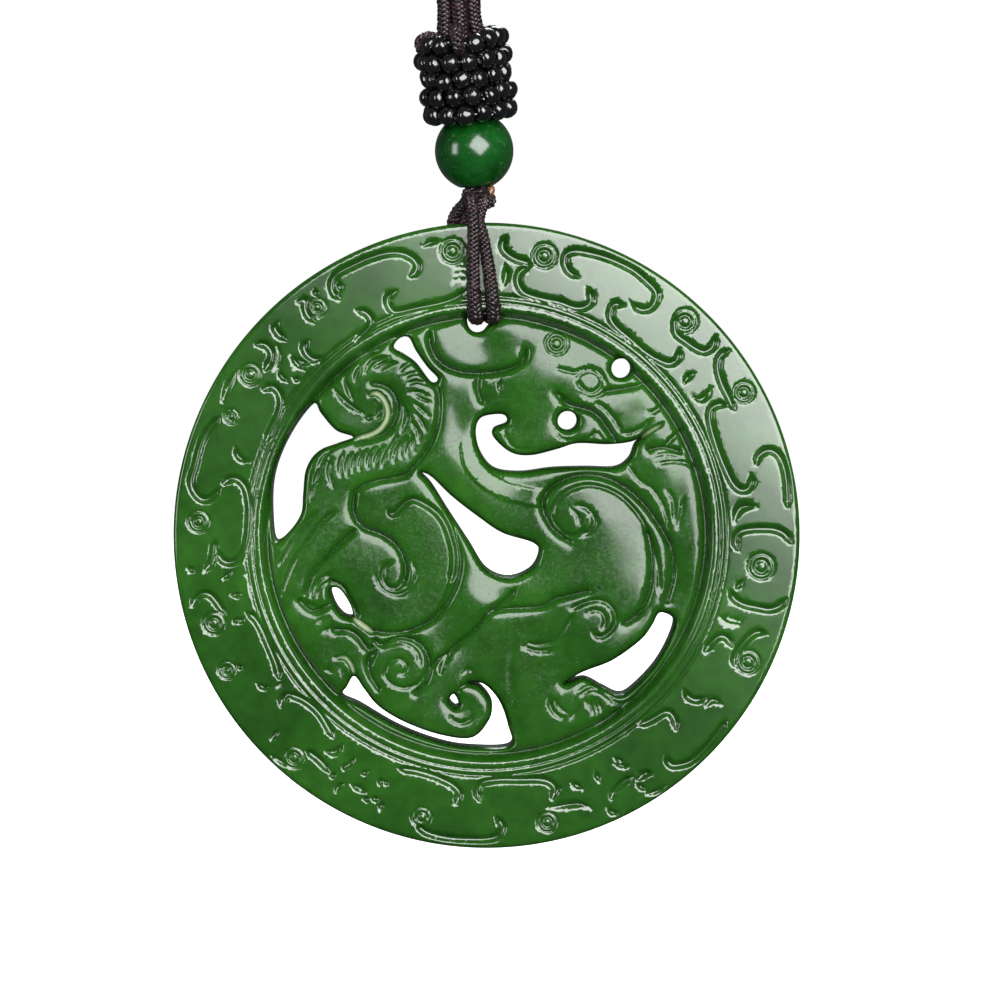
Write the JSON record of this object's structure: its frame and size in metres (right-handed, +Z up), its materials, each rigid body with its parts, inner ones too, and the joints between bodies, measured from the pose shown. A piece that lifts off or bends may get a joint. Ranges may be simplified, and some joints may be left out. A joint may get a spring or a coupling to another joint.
{
  "type": "jade pendant necklace",
  "caption": "Round openwork green jade pendant carved with a coiled beast in a rim, hung from a green bead and a black seed bead barrel on a doubled braided neck cord.",
  "frame": {"origin": "the point on the back of the wearer's neck where the doubled cord rests", "axes": "-Y is the front, the side that the disc shows; +Z is up; +X is to the right of someone facing the pendant"},
  "size_m": [0.1342, 0.1401, 0.2762],
  "materials": {
    "jade": "polished translucent green nephrite",
    "green_bead": "polished dark green stone",
    "black_glass": "glossy opaque black glass",
    "braided_cord": "dark maroon braided waxed cord"
  },
  "bodies": {
    "neck_cord": {"neck_strand_outer": "braided_cord", "neck_strand_inner": "braided_cord", "cord_core": "braided_cord", "seed_row_1": "black_glass", "seed_row_2": "black_glass", "seed_row_3": "black_glass", "seed_row_4": "black_glass", "seed_row_5": "black_glass", "jade_bead": "green_bead", "cord_knot": "braided_cord", "bail_strand_left": "braided_cord", "bail_strand_right": "braided_cord"},
    "pendant": {"jade_disc": "jade"}
  },
  "joints": [
    {"name": "pendant_sway", "type": "hinge", "parent": "neck_cord", "child": "pendant", "pos_m": [0.00205, -0.134, -0.2324], "axis": [0, 1, 0], "range_deg": [-25, 25]}
  ]
}
